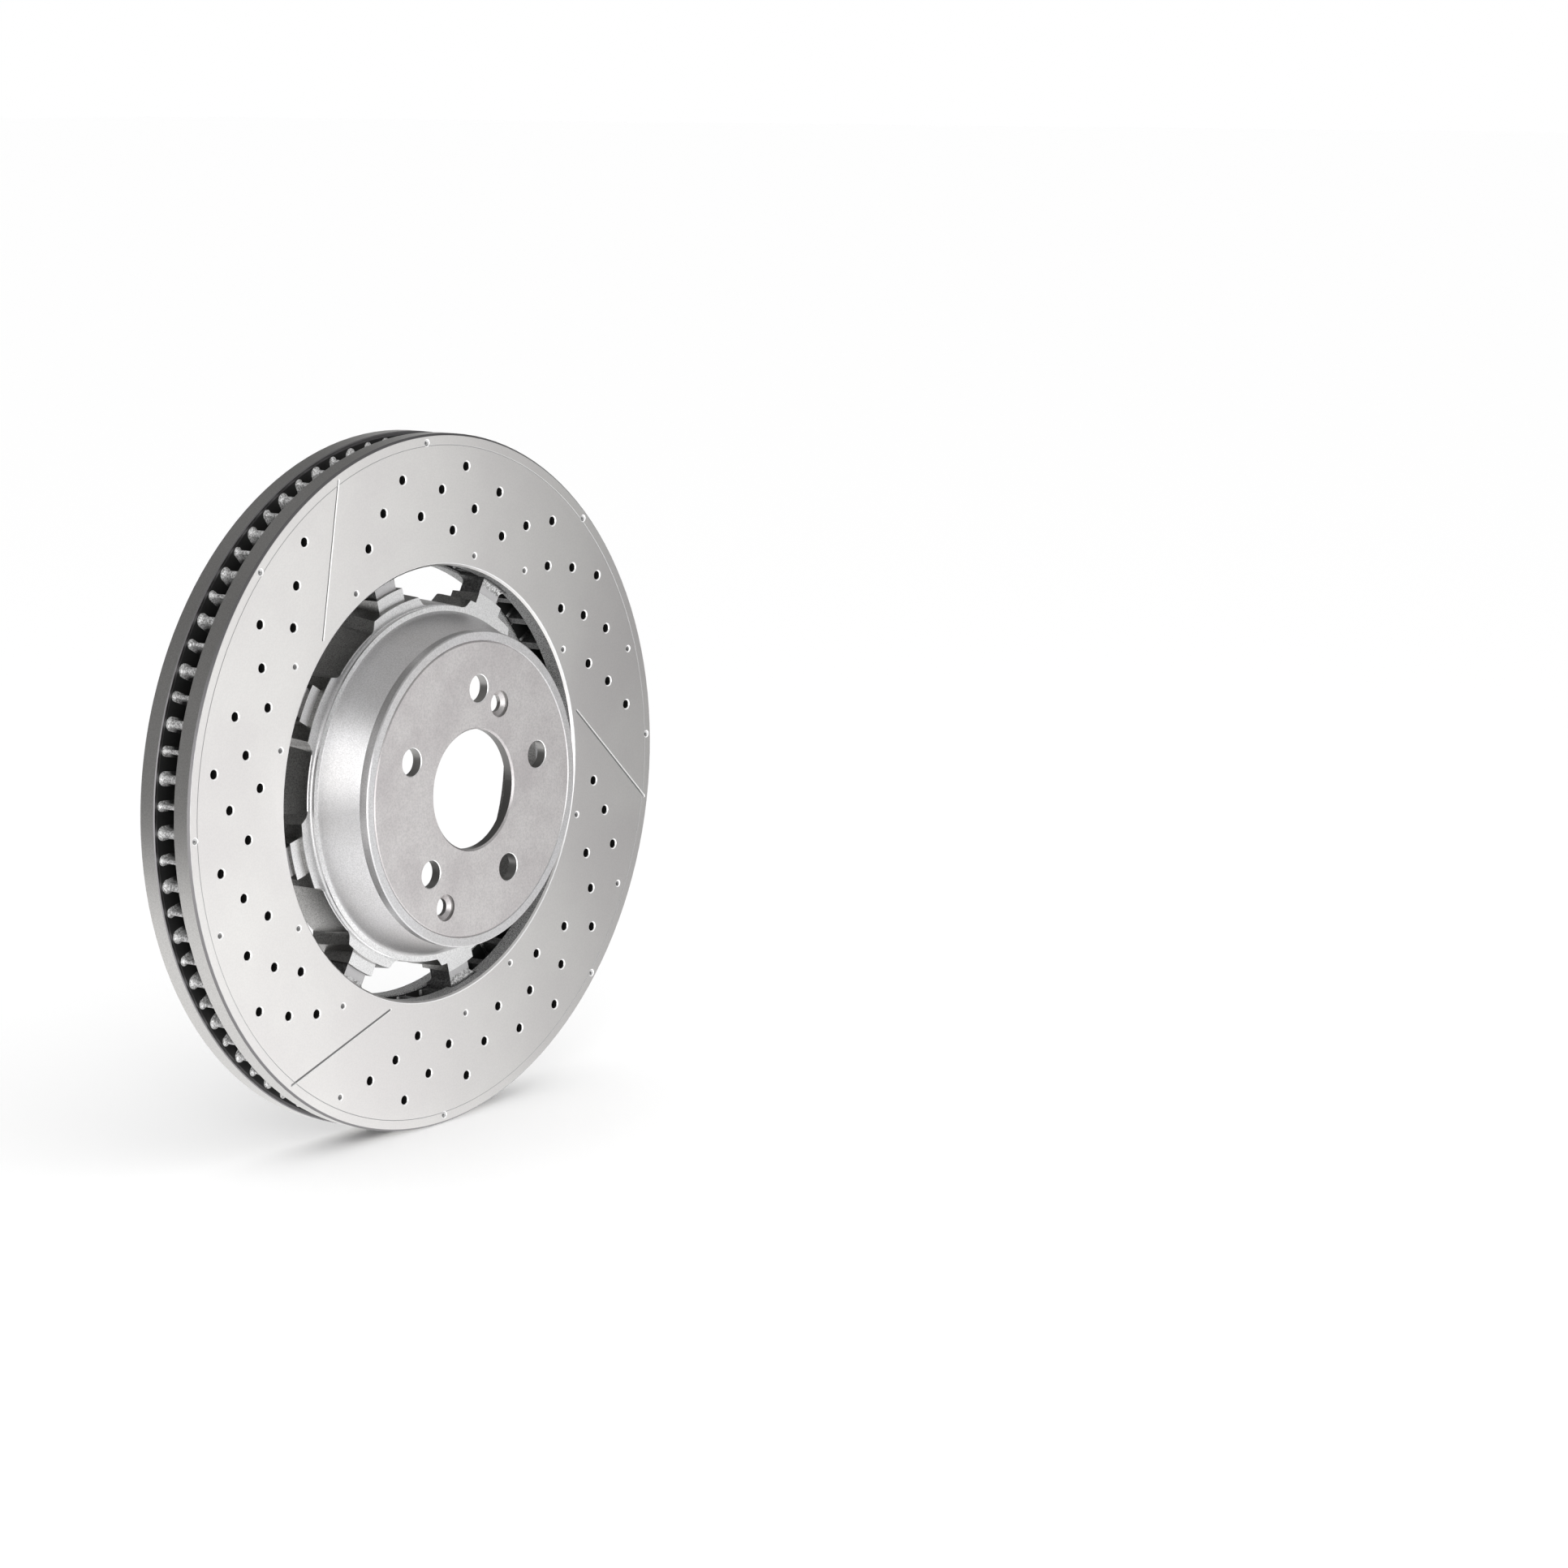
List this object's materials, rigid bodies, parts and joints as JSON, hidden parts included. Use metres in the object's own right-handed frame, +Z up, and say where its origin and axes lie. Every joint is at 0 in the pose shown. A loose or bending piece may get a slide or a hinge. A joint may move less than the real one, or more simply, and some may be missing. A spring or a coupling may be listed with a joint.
{
  "type": "ventilated brake disc",
  "caption": "Ventilated, drilled and grooved brake disc: a cast iron friction ring with cooling vanes, carried on lugs by an open aluminium bell with a hub bore and wheel bolt holes.",
  "frame": {"origin": "on the disc's axis, in the plane where the bell bears on the hub flange", "axes": "+Y along the axis towards the car, -Y towards the wheel, +Z up, the disc standing as on the car"},
  "size_m": [0.3899, 0.064, 0.39],
  "materials": {
    "ground_iron": "ground rubbing faces, protective grey rims",
    "cast_iron": "as cast, bright at the ends",
    "turned_aluminium": "turned, satin",
    "blasted_aluminium": "fine blasted, satin"
  },
  "bodies": {
    "root": {"outboard_plate": "ground_iron", "inboard_plate": "ground_iron", "long_vanes": "cast_iron", "short_vanes": "cast_iron", "drive_teeth": "cast_iron", "bell_face": "turned_aluminium", "bell_wall": "blasted_aluminium", "bell_lugs": "blasted_aluminium"}
  },
  "joints": []
}
